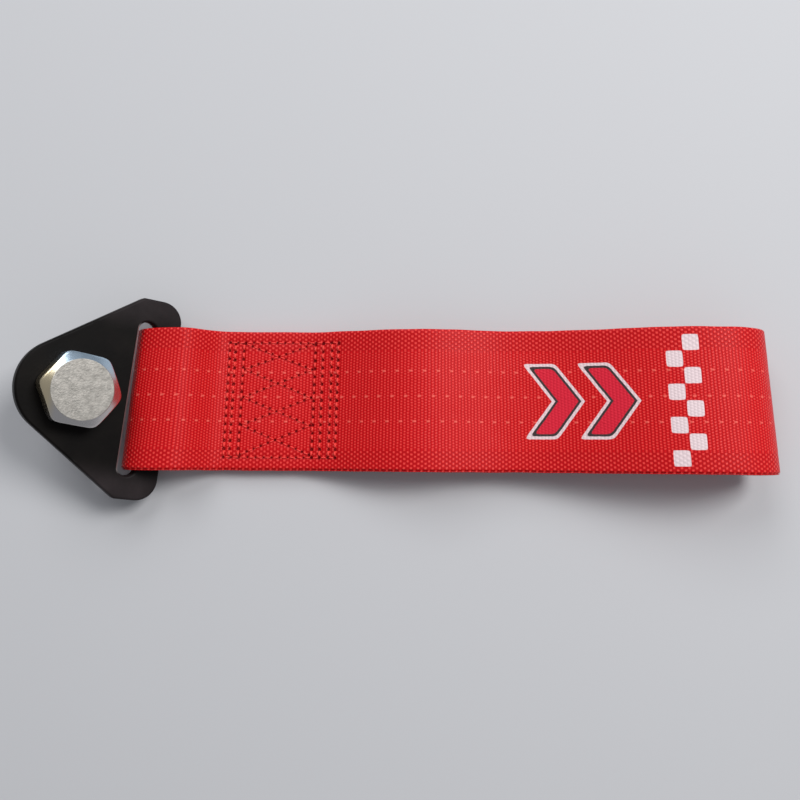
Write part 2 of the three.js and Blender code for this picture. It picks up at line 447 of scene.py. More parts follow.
def hole_depth(x, across):
    """How deep in a needle hole a place lies, from 0 to 1."""
    column, row = math.floor(x / CELL), math.floor(across / CELL)
    near = 0.0
    for dx in (-1, 0, 1):
        for dy in (-1, 0, 1):
            for hole in hole_cells.get((column + dx, row + dy), ()):
                gap = math.hypot(hole[0] - x, hole[1] - across)
                near = max(near, math.exp(-(gap / HOLE_WIDTH) ** 2))
    return near


def seam_depth(x, across):
    """How far the seams draw the surface down, from 0 to 1."""
    near = 0.0
    for (x0, y0), (x1, y1), draw in seam_spans:
        length = math.hypot(x1 - x0, y1 - y0)
        along = ((x - x0) * (x1 - x0) + (across - y0) * (y1 - y0)) / length
        if along < -1 or along > length + 1:
            continue
        gap = abs((x - x0) * (y1 - y0) - (across - y0) * (x1 - x0)) / length
        near = max(near, draw * math.exp(-(gap / SEAM_WIDTH) ** 2))
    return near


def sewn(x, s):
    """Whether a place along the strip is on the stack's top layer or on the tail below it."""
    top = TOP_STACK_START - 1 <= s <= TOP_STACK_END + 1
    return x >= STACK_START - 1 and (top or s <= STACK_END - STACK_START + 1)


def row_places():
    """Lengths of the mesh's rows along the strip, closer together where it is sewn."""
    places = [0.0]
    while places[-1] < STRIP_LENGTH - 1e-6:
        s = places[-1]
        fine = s < STACK_END - STACK_START or TOP_STACK_START - 1 < s < TOP_STACK_END + 1
        places.append(min(s + (FINE_ROW if fine else COARSE_ROW), STRIP_LENGTH))
    return places


def row_outline():
    """The outline of a row, as pairs of a place across and a share of the half thickness."""
    inner = WEB_HALF - EDGE_ROUND
    top = [(-inner + 2 * inner * k / COLUMNS, 1.0) for k in range(COLUMNS + 1)]
    turns = [math.radians(90 - 30 * k) for k in range(1, 6)]
    right = [(inner + EDGE_ROUND * math.cos(t), math.sin(t)) for t in turns]
    bottom = [(-across, -1.0) for across, side in top]
    left = [(-across, side) for across, side in reversed(right)]
    return top + right + bottom + [(across, -side) for across, side in left]


outline = row_outline()
print("points in a row", len(outline))


# %% [markdown]
# The rows are joined into one closed mesh. Besides the quilting, the free stretches get a
# slight unevenness, as a strap has that was folded and packed, and the selvedges wander.

# %% Build the webbing
def surface_wave(s, across):
    """The slight unevenness of a strap that has been folded and packed."""
    slow = noise.noise(Vector((s / 16, across / 11, 3.1)))
    quick = noise.noise(Vector((s / 5, across / 4, 8.7)))
    return SLOW_WAVE * slow + QUICK_WAVE * quick


def edge_wave(s, across):
    """The selvedge wanders a little."""
    return EDGE_WAVE * noise.noise(Vector((s / 9, 2.0 if across > 0 else 7.0, 0.4)))


def keep_vectors(mesh, name, vectors):
    """Keeps a vector at each point of a mesh, for its material to read."""
    kept = mesh.attributes.new(name, "FLOAT_VECTOR", "POINT")
    kept.data.foreach_set("vector", [number for vector in vectors for number in vector])


def webbing_mesh():
    points, places, holes = [], [], []
    rows = row_places()
    for s in rows:
        x, z = point_along(s)[:2]
        in_seam = sewn(x, s)
        for across, side in outline:
            wide = across + edge_wave(s, across) * abs(across / WEB_HALF) ** 6
            lift = side * SKIN_HALF
            depth = 0.0
            if in_seam and side > OUTER_SIDE:
                depth = hole_depth(x, across)
                lift -= HOLE_DENT * depth + SEAM_DENT * seam_depth(x, across)
            if side > OUTER_SIDE:
                fade = min(1.0, max(0.0, (z - GROUND) / FADE_HEIGHT))
                lift += surface_wave(s, across) * fade
            points.append(strip_point(s, wide, lift))
            places.append((s, wide, lift))
            holes.append(depth)
    count = len(outline)
    faces = []
    for row in range(len(rows) - 1):
        for k in range(count):
            after = (k + 1) % count
            a, b = row * count + k, row * count + after
            faces.append((a, a + count, b + count, b))
    last = (len(rows) - 1) * count
    faces.append(tuple(range(count)))
    faces.append(tuple(last + k for k in reversed(range(count))))
    mesh = bpy.data.meshes.new("webbing_strip")
    mesh.from_pydata(points, [], faces)
    keep_vectors(mesh, "place", places)
    mesh.attributes.new("needle", "FLOAT", "POINT").data.foreach_set("value", holes)
    mesh.polygons.foreach_set("use_smooth", [True] * (len(faces) - 2) + [False] * 2)
    return mesh


def add_object(name, mesh, finish, body, slot, *nodes):
    """Puts a mesh into the scene with its finish and its body; its slot is not used."""
    made = bpy.data.objects.new(name, mesh)
    bpy.context.collection.objects.link(made)
    mesh.materials.append(finish.material)
    mesh.update()
    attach(made, body)
    if nodes:
        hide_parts(*nodes)
    print(name, "has", len(mesh.vertices), "points and", len(mesh.polygons), "faces")


# %% [markdown]
# The weave shows as rows of small dots, each the float of a thread that passes over its
# neighbours. Cosine waves along and across give such a staggered field of dots. The
# selvedge bands are coarser, and three lengthwise rows of binder threads show as sparse
# brighter dots. The same height gives the colour, with painted shade in a deep red between
# the threads and a lighter painted highlight on their tops, the gloss and the bump, so the
# three agree.

# %% Webbing finish
WEFT_PITCH = 1.19
MIDDLE_ROW = 1.0
EDGE_ROW = 1.58
RIB_SHARE = 0.42
RIB_SHARE_AT_EDGE = 0.12
EDGE_BAND = 17.2
BINDER_ROWS = (10.2, 1.4, -7.4)
BINDER_PITCH = 4.75

webbing_red = Finish("webbing_red", Specular_IOR_Level=0.16)
strip_place = webbing_red.attribute("place")
along, across, through = webbing_red.parts(strip_place)
needle = webbing_red.attribute("needle", "Fac")
wobble = webbing_red.cloud(0.35, 3.0, 0.6, strip_place) - 0.5
thread_along = along + wobble * 0.5
thread_across = across + wobble * 0.18


def staggered_dots(row):
    """Rounded dots in columns, every other column half a row lower."""
    column_wave = thread_along.wave(2 * WEFT_PITCH)
    row_wave = thread_across.wave(row)
    even = column_wave.rise(0.0, 1.0) * row_wave.rise(-0.7, 0.9)
    odd = column_wave.rise(0.0, -1.0) * row_wave.rise(0.7, -0.9)
    return even + odd


middle_dots = staggered_dots(MIDDLE_ROW)
edge_dots = staggered_dots(EDGE_ROW)
rib = thread_along.wave(WEFT_PITCH) * 0.5 + 0.5
at_edge = abs(across).rise(EDGE_BAND - 0.5, EDGE_BAND + 0.5)
rib_share = at_edge * (RIB_SHARE_AT_EDGE - RIB_SHARE) + RIB_SHARE
dots = (middle_dots + (edge_dots - middle_dots) * at_edge) * (1 - rib_share) + rib * rib_share
binder = None
for number, row in enumerate(BINDER_ROWS):
    line_of = abs(across - row).rise(0.5, 0.15)
    pulse = (thread_along + number * 1.7).wave(BINDER_PITCH).rise(0.55, 0.9)
    binder = line_of * pulse if binder is None else binder.at_least(line_of * pulse)
print("webbing nodes so far", len(webbing_red.tree.nodes))

# %% [markdown]
# Near the loop's end the strap carries a print. Here it is two rounded arrow heads that
# point to the loop's end, in a pinker red with a black line and a pale border, and a
# chequered band across the strap. Each form is a distance worked out in millimetres on
# the strip, so the print lies in the weave and bends with it.

# %% Print
ARROW_TIPS = (top_place(150.0), top_place(168.0))
ARROW_HALF_HEIGHT = 12.0
ARROW_HALF_WIDTH = 4.2
ARROW_SLOPE = 0.75
ARROW_COSINE = 0.8
ARROW_ROUNDING = 2.0
CHECK_START = top_place(178.0)
CHECK_SIZE = 5.6
BORDER_EDGE = 1.25
LINE_EDGE = 0.25
FILL_EDGE = -0.55
INK_SOFTNESS = 0.1


def inked_within(distance, edge):
    """1 on the print's side where a distance is under an edge, with a soft step."""
    return distance.rise(edge + INK_SOFTNESS, edge - INK_SOFTNESS) * top_side


ink_edge = wobble * 0.25
arrows = None
for tip in ARROW_TIPS:
    from_spine = abs(along - tip + abs(across) * ARROW_SLOPE + ARROW_HALF_WIDTH)
    slanted = from_spine * ARROW_COSINE - ARROW_HALF_WIDTH * ARROW_COSINE
    inputs = {0: slanted, 1: abs(across) - ARROW_HALF_HEIGHT, 2: ARROW_ROUNDING}
    arrow = webbing_red.node("ShaderNodeMath", {"operation": "SMOOTH_MAX"}, inputs) + ink_edge
    arrows = arrow if arrows is None else arrows.at_most(arrow)
top_side = through.rise(0.0, 0.3)
pale_border = inked_within(arrows, BORDER_EDGE)
black_line = inked_within(arrows, LINE_EDGE)
pink_fill = inked_within(arrows, FILL_EDGE)
check_column = (along - CHECK_START) / CHECK_SIZE
check_row = across / CHECK_SIZE
inside_band = abs(check_column - 1.0).rise(1.0, 0.97) * abs(check_row).rise(4.0, 3.97)
column_wave = (check_column * math.pi).sine()
row_wave = (check_row * math.pi).sine()
checks = (column_wave * row_wave + ink_edge * 0.4).rise(0.0, 0.06) * inside_band * top_side
print("webbing nodes with the print", len(webbing_red.tree.nodes))

# %% [markdown]
# The colours are laid over each other from the ground up: painted shade of deep red between
# the threads, the threads, a painted highlight on their tops, the binder dots, then the inks,
# and last more painted shade between the threads and in the needle holes. Ink fills the
# weave a little, so it is duller and flatter.

# %% Colour, gloss and relief of the webbing
PALE_INK = rgb(232, 212, 214)
LINE_INK = rgb(20, 6, 8)
FILL_INK = rgb(214, 34, 56)
CHECK_INK = rgb(232, 214, 216)
# Painted shade: a dark red between the threads, where the weave lies in shade.
THREAD_GAP_SHADE = rgb(90, 4, 10)
HOLE_SHADE = rgb(60, 2, 5)
# Painted shade: the deep red laid between the threads.
gap_shade_red = rgb(186, 8, 16)
thread_red = rgb(212, 16, 23)
# Painted highlight: the light red on the threads' tops, also used for the binder dots.
highlight_and_binder_red = rgb(255, 118, 104)
web_colour = dots.rise(0.0, 0.45).colour_mix(gap_shade_red, thread_red)
# Painted highlight on the tops of the thread floats.
web_colour = (dots.rise(0.55, 1.0) * 0.34).colour_mix(web_colour, highlight_and_binder_red)
web_colour = (binder * 0.55).colour_mix(web_colour, highlight_and_binder_red)
web_colour = (pale_border * 0.93).colour_mix(web_colour, PALE_INK)
web_colour = (black_line * 0.95).colour_mix(web_colour, LINE_INK)
web_colour = pink_fill.colour_mix(web_colour, FILL_INK)
web_colour = (checks * 0.95).colour_mix(web_colour, CHECK_INK)
# Painted shade between the threads.
web_colour = ((1 - dots.rise(0.0, 0.3)) * 0.10).colour_mix(web_colour, THREAD_GAP_SHADE)
web_colour = (needle * 0.5).colour_mix(web_colour, HOLE_SHADE)
webbing_red.feed("Base Color", web_colour)
inked = pale_border.at_least(checks)
webbing_red.feed("Roughness", 0.44 - dots * 0.14 + inked * 0.14)
height = dots + binder * 0.5 - inked * 0.15
webbing_red.feed("Normal", webbing_red.relief(height, 0.00010))

add_object("webbing_loop", webbing_mesh(), webbing_red, "strap", "webbing", "webbing")

# %% [markdown]
# Each stitch is a short arched bit of thread with a twist along it. It could be a
# bevelled curve, but hundreds of curves are heavy, so one mesh holds all the bits.

# %% Stitch thread
THREAD_HALF = {"across": 0.43, "along": 0.26, "cross": 0.26}
THREAD_ARCH = {"across": 0.34, "along": 0.12, "cross": 0.10}
BIT_MARGIN = 0.12
THREAD_SINK = 0.5
THREAD_FLATNESS = 0.8
THREAD_TWIST = 2.2
RINGS = 10
SIDES = 10


def stitch_bit(start, end, kind, lie, points, faces):
    """Adds one bit of thread between two needle holes; lie places a point on the webbing."""
    first = len(points)
    length = math.dist(start, end)
    across_x = -(end[1] - start[1]) / length
    across_y = (end[0] - start[0]) / length
    for ring in range(RINGS + 1):
        share = ring / RINGS
        along_bit = BIT_MARGIN + (1 - 2 * BIT_MARGIN) * share
        x = start[0] + (end[0] - start[0]) * along_bit
        y = start[1] + (end[1] - start[1]) * along_bit
        arch = math.sin(math.pi * share)
        rise = -THREAD_SINK + (THREAD_ARCH[kind] + THREAD_SINK) * min(1.0, arch * 1.35)
        half = THREAD_HALF[kind] * (0.6 + 0.4 * arch)
        for side in range(SIDES):
            turn = 2 * math.pi * side / SIDES + share * THREAD_TWIST
            sideways = half * math.cos(turn)
            height = rise + half * THREAD_FLATNESS * math.sin(turn)
            points.append(lie(x + across_x * sideways, y + across_y * sideways, height))
    for ring in range(RINGS):
        for side in range(SIDES):
            a = first + ring * SIDES + side
            b = first + ring * SIDES + (side + 1) % SIDES
            faces.append((a, b, b + SIDES, a + SIDES))
    faces.append(tuple(first + k for k in reversed(range(SIDES))))
    faces.append(tuple(first + RINGS * SIDES + k for k in range(SIDES)))


top_table = [
    (place[0], s)
    for place, s in zip(line, reach_along)
    if TOP_STACK_START - 2 < s < TOP_STACK_END + 2
]


def top_length(x):
    index = min(max(bisect.bisect(top_table, (x, 0.0)), 1), len(top_table) - 1)
    (x0, s0), (x1, s1) = top_table[index - 1], top_table[index]
    return s0 + (s1 - s0) * (x - x0) / (x1 - x0)


def on_top(x, across, rise):
    drawn = SEAM_DENT * seam_depth(x, across)
    return strip_point(top_length(x), across, SKIN_HALF - drawn + rise)


def under_tail(x, across, rise):
    drawn = SEAM_DENT * seam_depth(x, across)
    s = min(max(STACK_END - x, 0.0), STACK_END - STACK_START)
    return strip_point(s, across, SKIN_HALF - drawn - 0.12 + rise * 0.6)


def stitch_mesh(name, lie):
    points, faces = [], []
    for kind, holes in seams:
        for start, end in zip(holes, holes[1:]):
            stitch_bit(start, end, kind, lie, points, faces)
    mesh = bpy.data.meshes.new(name)
    mesh.from_pydata(points, [], faces)
    mesh.polygons.foreach_set("use_smooth", [True] * len(faces))
    return mesh


thread_red_finish = Finish("thread_red", Roughness=0.42, Specular_IOR_Level=0.35)
ply_sizes = {"Scale": 900.0, "Distortion": 0.6}
ply = thread_red_finish.node("ShaderNodeTexWave", {"bands_direction": "DIAGONAL"}, ply_sizes)
thread_red_finish.feed("Base Color", ply.colour_mix(rgb(236, 34, 36), rgb(255, 84, 74)))
thread_red_finish.feed("Normal", thread_red_finish.relief(ply, 0.00002))
for name, lie in (("stitches_top", on_top), ("stitches_under", under_tail)):
    add_object(name, stitch_mesh(name, lie), thread_red_finish, "strap", "webbing")

# %% [markdown]
# Where the needle went in, the webbing has a small hole in shade. A dark cup of painted
# shade is laid in each dent of the webbing. Their sizes vary, with a seeded generator, so
# each run is alike.

# %% Needle holes
CUP_RADIUS = {"across": 0.56, "along": 0.34, "cross": 0.40}
CUP_SIDES = 10
CUP_LEVELS = ((1.0, 0.02), (0.6, -0.14))
CUP_BOTTOM = -0.26


def needle_mesh(lie):
    """Small dark cups of painted shade where the needle went in, no two quite alike."""
    chance = random.Random(7)
    points, faces = [], []
    for kind, holes in seams:
        for x, across in holes:
            first = len(points)
            wide = CUP_RADIUS[kind] * chance.uniform(0.65, 1.05)
            for share, rise in CUP_LEVELS:
                for side in range(CUP_SIDES):
                    turn = 2 * math.pi * side / CUP_SIDES
                    beside = wide * share * math.cos(turn)
                    points.append(lie(x + beside, across + wide * share * math.sin(turn), rise))
            points.append(lie(x, across, CUP_BOTTOM))
            for side in range(CUP_SIDES):
                after = (side + 1) % CUP_SIDES
                inner = first + CUP_SIDES
                faces.append((first + side, first + after, inner + after, inner + side))
                faces.append((inner + side, inner + after, first + 2 * CUP_SIDES))
    mesh = bpy.data.meshes.new("needle_cups")
    mesh.from_pydata(points, [], faces)
    mesh.polygons.foreach_set("use_smooth", [True] * len(faces))
    return mesh


# Painted shade: the cups' dark red stands for the shade inside the needle holes.
needle_shade = Finish("needle_shade", Roughness=0.8, Specular_IOR_Level=0.1)
fibre = needle_shade.cloud(1500.0)
needle_shade.feed("Base Color", fibre.colour_mix(rgb(90, 4, 8), rgb(134, 8, 12)))
needle_shade.feed("Normal", needle_shade.relief(fibre, 0.00005))
add_object("needle_holes_top", needle_mesh(on_top), needle_shade, "strap", "webbing")

# %% [markdown]
# The plate is cut from 5 mm steel. Its outline is a round nose, two straight sides and
# two rounded ears, with a bolt hole and a slot. The rounded edge is built ring by ring
# from the outline's own normals, because a bevel modifier would leave long thin faces.

# %% The plate's frame and outline, in millimetres
PIVOT = Vector((-88.470, -0.727, 6.945))
NOSE_TO_BAR = Vector((0.83455068, -0.10987068, -0.53986443))
HINGE = Vector((0.13052619, 0.99144486, 0.0))
PLATE_NORMAL = Vector((0.53524582, -0.07046645, 0.84175198))
PLATE_HALF = 2.5
PLATE_EDGE = 0.8
HOLE_U = -28.75
HOLE_RADIUS = 8.5
NOSE_U = -31.25
NOSE_RADIUS = 16.9
SLANT = math.radians(35.3)
BAR_U = 4.15
SLOT_LEFT = -10.65
SLOT_RIGHT = -4.15
SLOT_LENGTH = 54.6
HALF_WIDTH = 35.5
EAR_RADIUS = 7.4
CORNER_ROUND = 1.5
RIM_SPACING = 1.6
SAME_SPOT = 0.02


def plate_point(u, v, n):
    return (PIVOT + NOSE_TO_BAR * u + HINGE * v + PLATE_NORMAL * n) * MM


def arc(u, v, radius, turn_from, turn_to, steps):
    """Points of an arc with their outward normals; turns in radians."""
    found = []
    for k in range(steps + 1):
        turn = turn_from + (turn_to - turn_from) * k / steps
        outward = (math.cos(turn), math.sin(turn))
        found.append(((u + radius * outward[0], v + radius * outward[1]), outward))
    return found


def plate_outline():
    """The outline anticlockwise from the lower ear, as points with outward normals."""
    slant_out = math.pi / 2 + SLANT
    ear = (BAR_U - EAR_RADIUS, HALF_WIDTH - EAR_RADIUS)
    corner_v = HALF_WIDTH - CORNER_ROUND
    along_slant = corner_v * math.cos(SLANT) - NOSE_RADIUS + CORNER_ROUND
    corner_u = NOSE_U + along_slant / math.sin(SLANT)
    upper = arc(ear[0], ear[1], EAR_RADIUS, 0.0, math.pi / 2, 18)
    corner = arc(corner_u, corner_v, CORNER_ROUND, math.pi / 2, slant_out, 5)
    nose = arc(NOSE_U, 0.0, NOSE_RADIUS, slant_out, 2 * math.pi - slant_out, 64)
    lower = [((u, -v), (a, -b)) for (u, v), (a, b) in reversed(upper)]
    lower_corner = [((u, -v), (a, -b)) for (u, v), (a, b) in reversed(corner)]
    return upper + corner + nose + lower_corner + lower


def between(start, end, share):
    return (start[0] + (end[0] - start[0]) * share, start[1] + (end[1] - start[1]) * share)


def filled(points):
    """Adds points on long straight stretches, so that no face is a long sliver."""
    found = []
    for (here, out), (there, out_there) in zip(points, points[1:] + points[:1]):
        steps = max(1, math.ceil(math.dist(here, there) / RIM_SPACING))
        for k in range(steps):
            mixed = Vector(between(out, out_there, k / steps)).normalized()
            found.append((between(here, there, k / steps), (mixed.x, mixed.y)))
    return found


def without_repeats(points):
    kept = []
    for spot, out in points:
        if not kept or math.dist(spot, kept[-1][0]) > SAME_SPOT:
            kept.append((spot, out))
    if math.dist(kept[0][0], kept[-1][0]) < SAME_SPOT:
        kept.pop()
    return kept


slot_middle = (SLOT_LEFT + SLOT_RIGHT) / 2
slot_radius = (SLOT_RIGHT - SLOT_LEFT) / 2
slot_straight = SLOT_LENGTH / 2 - slot_radius
slot_edge = arc(slot_middle, slot_straight, slot_radius, 0.0, math.pi, 20)
slot_edge += arc(slot_middle, -slot_straight, slot_radius, math.pi, 2 * math.pi, 20)
rims = [
    (without_repeats(filled(plate_outline())), 1.0),
    (without_repeats(arc(HOLE_U, 0.0, HOLE_RADIUS, 0.0, 2 * math.pi, 64)), -1.0),
    (without_repeats(filled(slot_edge)), -1.0),
]
print("plate rims have", [len(rim) for rim, side in rims], "points")


# %% [markdown]
# The flat faces are filled with triangles of even size between the rims. Blender's own
# Delaunay fill also covers the openings, so a triangle is kept only if its middle lies
# inside the outline and outside the hole and the slot.

# %% Build the plate
FLAT_SPACING = 2.4
FLAT_MARGIN = 1.3


def edge_profile():
    """How far in and how high each ring of the plate's edge is, from top to bottom."""
    upper = []
    for k in range(5):
        turn = math.radians(90 - 22.5 * k)
        height = PLATE_HALF - PLATE_EDGE * (1 - math.sin(turn))
        upper.append((PLATE_EDGE * (1 - math.cos(turn)), height))
    return upper + [(0.0, 0.0)] + [(inset, -height) for inset, height in reversed(upper)]


def add_rim(points, faces, profile, rim, side):
    """Adds the rounded edge along a rim, ring below ring; side is -1 round an opening."""
    first = len(points)
    count = len(rim)
    for inset, height in profile:
        for (u, v), (out_u, out_v) in rim:
            points.append((u - side * inset * out_u, v - side * inset * out_v, height))
    for ring in range(len(profile) - 1):
        for k in range(count):
            a = first + ring * count + k
            b = first + ring * count + (k + 1) % count
            quad = (a, a + count, b + count, b)
            faces.append(quad if side > 0 else quad[::-1])


def inner_spots():
    """Places on an even grid in the plate's flat face."""
    rows = math.ceil(HALF_WIDTH / FLAT_SPACING)
    first = math.floor((NOSE_U - NOSE_RADIUS) / FLAT_SPACING)
    last = math.ceil(BAR_U / FLAT_SPACING)
    for row in range(-rows, rows + 1):
        for column in range(first, last + 1):
            spot = Vector((column * FLAT_SPACING, row * FLAT_SPACING))
            if plate_inside(spot, FLAT_MARGIN):
                yield spot


def add_flat(points, faces, loops, level, upward):
    """Adds the flat face that lies between the rims' rings at one level."""
    ids, borders = [], []
    for first, count in loops:
        start = len(ids)
        ids.extend(first + level * count + k for k in range(count))
        borders.extend((start + k, start + (k + 1) % count) for k in range(count))
    flat = [Vector(points[i][:2]) for i in ids]
    height = points[ids[0]][2]
    for spot in inner_spots():
        ids.append(len(points))
        points.append((spot.x, spot.y, height))
        flat.append(spot)
    edges = [(flat[start], flat[end]) for start, end in borders]
    for triangle in geometry.delaunay_2d_cdt(flat, borders, [], 0, 1e-5)[2]:
        a, b, c = (flat[k] for k in triangle)
        if within((a + b + c) / 3, edges):
            face = tuple(ids[k] for k in triangle)
            anticlockwise = (b - a).cross(c - a) > 0
            faces.append(face if anticlockwise == upward else face[::-1])


def plate_mesh():
    points, faces, loops = [], [], []
    profile = edge_profile()
    for rim, side in rims:
        loops.append((len(points), len(rim)))
        add_rim(points, faces, profile, rim, side)
    add_flat(points, faces, loops, 0, True)
    add_flat(points, faces, loops, len(profile) - 1, False)
    mesh = bpy.data.meshes.new("plate_cut")
    mesh.from_pydata([plate_point(*p) for p in points], [], faces)
    keep_vectors(mesh, "cut", points)
    mesh.polygons.foreach_set("use_smooth", [len(face) == 4 for face in faces])
    return mesh


def within(spot, edges):
    """Whether a spot is inside closed loops: a ray from it crosses them an odd number of times."""
    crossings = 0
    for start, end in edges:
        if (start.y > spot.y) != (end.y > spot.y):
            at = start.x + (end.x - start.x) * (spot.y - start.y) / (end.y - start.y)
            crossings += at > spot.x
    return crossings % 2 == 1


def plate_inside(spot, margin):
    """Whether a spot is in the flat face, this far from the rims' inner rings."""
    u, v = spot.x, abs(spot.y)
    gap = margin + PLATE_EDGE
    slanted = (u - NOSE_U) * -math.sin(SLANT) + v * math.cos(SLANT)
    if slanted > NOSE_RADIUS - gap or v > HALF_WIDTH - gap or u > BAR_U - gap:
        return False
    if u < NOSE_U - NOSE_RADIUS * math.sin(SLANT) and math.hypot(u - NOSE_U, v) > NOSE_RADIUS - gap:
        return False
    ear_u, ear_v = BAR_U - EAR_RADIUS, HALF_WIDTH - EAR_RADIUS
    if u > ear_u and v > ear_v and math.hypot(u - ear_u, v - ear_v) > EAR_RADIUS - gap:
        return False
    if math.hypot(u - HOLE_U, v) < HOLE_RADIUS + gap:
        return False
    beyond = max(0.0, v - slot_straight)
    return math.hypot(u - slot_middle, beyond) > slot_radius + gap


# %% [markdown]
# The plate is painted black. The paint has a satin skin with a faint unevenness and is
# rubbed through to bright steel along the slot where webbing and metal chafe. Its colour
# is lighter towards the two ears, a painted reflection.

# %% Plate finish
plate_black = Finish("plate_black", Specular_IOR_Level=0.07)
cut_u, cut_v, cut_n = plate_black.parts(plate_black.attribute("cut"))
skin = plate_black.cloud(900.0, 3.0, 0.6)
patch = plate_black.cloud(60.0, 4.0, 0.6)
slot_gap = abs(cut_u - slot_middle)
at_slot_side = (slot_gap - slot_radius).rise(0.55, 0.15) * (cut_u - slot_middle).rise(0.0, -1.0)
rubbed = at_slot_side * cut_n.rise(1.85, 2.1) * cut_n.rise(2.5, 2.42) * abs(cut_v).rise(27.0, 24.0)
rubbed = rubbed * (patch + 0.15).rise(0.35, 0.6)
plate_colour = patch.rise(0.3, 0.8).colour_mix(rgb(12, 10, 9), rgb(22, 19, 17))
# Painted reflection: the plate's colour is lighter towards the two ears.
plate_colour = (abs(cut_v).rise(22.0, 33.0) * patch * 0.7).colour_mix(plate_colour, rgb(70, 62, 64))
plate_colour = rubbed.colour_mix(plate_colour, rgb(190, 190, 188))
plate_black.feed("Base Color", plate_colour)
plate_black.feed("Metallic", rubbed)
plate_black.feed("Roughness", 0.40 + patch * 0.12 - rubbed * 0.1)
plate_black.feed("Normal", plate_black.relief(skin, 0.00003))
add_object("plate_painted", plate_mesh(), plate_black, "plate", "plate", "plate")

# %% [markdown]
# The bolt is an M16 hexagon bolt. Its head is a hexagon cut by a cone, which leaves the
# round top and the curved facets at the corners. Radius against turn and height gives
# that shape directly, and the thread is one more formula: a helix with 60 degree flanks.

# %% Bolt shape, in millimetres
ACROSS_FLATS = 24.0
CORNER_RADIUS = 13.3
HEAD_TOP = 12.8
HEAD_UNDER = 2.8
WASHER_RADIUS = 11.1
WASHER_HEIGHT = 0.6
FACE_RADIUS = 10.4
CHAMFER = math.radians(30)
BOLT_TURN = math.radians(-3.2)
TIP = -22.2
THREAD_RADIUS = 7.9
THREAD_PITCH = 2.0
THREAD_DEPTH = 1.2
THREAD_TOP = HEAD_UNDER - 0.4
THREAD_ROWS = 224
HEAD_FOOT = HEAD_UNDER + WASHER_HEIGHT
FACE_RINGS = (1.2, 2.4, 3.6, 4.8, 6.0, 7.2, 8.4, 9.2, 9.8, 10.0)
FACE_ROUND = 0.6
CHAMFER_DROP = 0.08
CHAMFER_GAP = 0.18
SIDE_DROP = 0.30
FOOT_RINGS = ((0.12, 0.08), (0.35, 0.0))
WASHER_RINGS = (
    (WASHER_RADIUS + 0.15, HEAD_FOOT),
    (WASHER_RADIUS, HEAD_FOOT - 0.12),
    (WASHER_RADIUS, HEAD_UNDER + 0.12),
    (WASHER_RADIUS - 0.15, HEAD_UNDER),
    (THREAD_RADIUS + 0.5, HEAD_UNDER),
    (THREAD_RADIUS + 0.1, HEAD_UNDER - 0.15),
)
TIP_RINGS = (6.2, 4.5, 3.0, 1.5)
AROUND = 120


def hexagon(turn):
    """Radius of the hexagon head at a turn, with its corners rounded off."""
    sector = (turn - BOLT_TURN + math.pi / 6) % (math.pi / 3) - math.pi / 6
    sharp = ACROSS_FLATS / 2 / math.cos(math.pi / 6 - abs(sector))
    return min(sharp, CORNER_RADIUS - 0.35 * (sector / 0.12) ** 2) if abs(sector) < 0.12 else sharp


def thread_radius(turn, n):
    """Radius of the threaded shank: crests flat, roots rounded."""
    phase = ((n / THREAD_PITCH) - turn / (2 * math.pi)) % 1.0
    ridge = 1 - abs(2 * phase - 1)
    cut = min(1.0, max(0.0, (ridge - 0.06) / 0.82))
    depth = THREAD_DEPTH * (cut - 0.10 * math.sin(math.pi * cut) ** 2)
    fade = min(1.0, max(0.0, (HEAD_UNDER - 1.6 - n) / 1.2))
    radius = THREAD_RADIUS - depth * fade
    return min(radius, THREAD_RADIUS - 1.15 + (n - TIP) * 0.95)


def round_ring(radius, height):
    """A ring with one radius and height at each turn."""
    return lambda turn: (radius, height)


def face_edge(tilt):
    """A ring of the rounded edge of the head's flat top."""
    radius = FACE_RADIUS - FACE_ROUND / 2 + FACE_ROUND * math.sin(tilt)
    return round_ring(radius, HEAD_TOP - FACE_ROUND * (1 - math.cos(tilt)))


def chamfer(turn, share):
    """A place on the chamfer's cone, from the flat top at 0 to the hexagon at 1."""
    far = hexagon(turn) - CHAMFER_GAP
    radius = FACE_RADIUS + (far - FACE_RADIUS) * share
    return radius, HEAD_TOP - CHAMFER_DROP - (radius - FACE_RADIUS) * math.tan(CHAMFER)


def chamfer_ring(share):
    return lambda turn: chamfer(turn, share)


def side_ring(drop, inset):
    """A ring of the hexagon, a little below the chamfer's outer edge."""
    return lambda turn: (hexagon(turn) - inset, chamfer(turn, 1.0)[1] - drop)


def flank_ring(share):
    """A ring on the hexagon's flat sides, from their top at 0 to the head's foot at 1."""
    foot = HEAD_FOOT + 0.25
    return lambda turn: (
        hexagon(turn),
        (chamfer(turn, 1.0)[1] - SIDE_DROP) * (1 - share) + foot * share,
    )


def foot_ring(inset, rise):
    return lambda turn: (hexagon(turn) - inset, HEAD_FOOT + rise)


def thread_ring(row):
    n = THREAD_TOP + (TIP - THREAD_TOP) * row / THREAD_ROWS
    return lambda turn: (thread_radius(turn, n), n)


def bolt_rings():
    """Rings of the bolt from the middle of its top to the middle of its tip."""
    rings = [round_ring(radius, HEAD_TOP) for radius in FACE_RINGS]
    rings += [face_edge(CHAMFER * step / 4) for step in range(1, 5)]
    rings += [chamfer_ring(share) for share in (0.25, 0.5, 0.75, 1.0)]
    rings += [side_ring(0.12, 0.06), side_ring(SIDE_DROP, 0.0)]
    rings += [flank_ring(share) for share in (0.25, 0.5, 0.75, 0.94)]
    rings += [foot_ring(*ring) for ring in FOOT_RINGS]
    rings += [round_ring(*ring) for ring in WASHER_RINGS]
    rings += [thread_ring(row) for row in range(THREAD_ROWS + 1)]
    return rings + [round_ring(radius, TIP) for radius in TIP_RINGS]


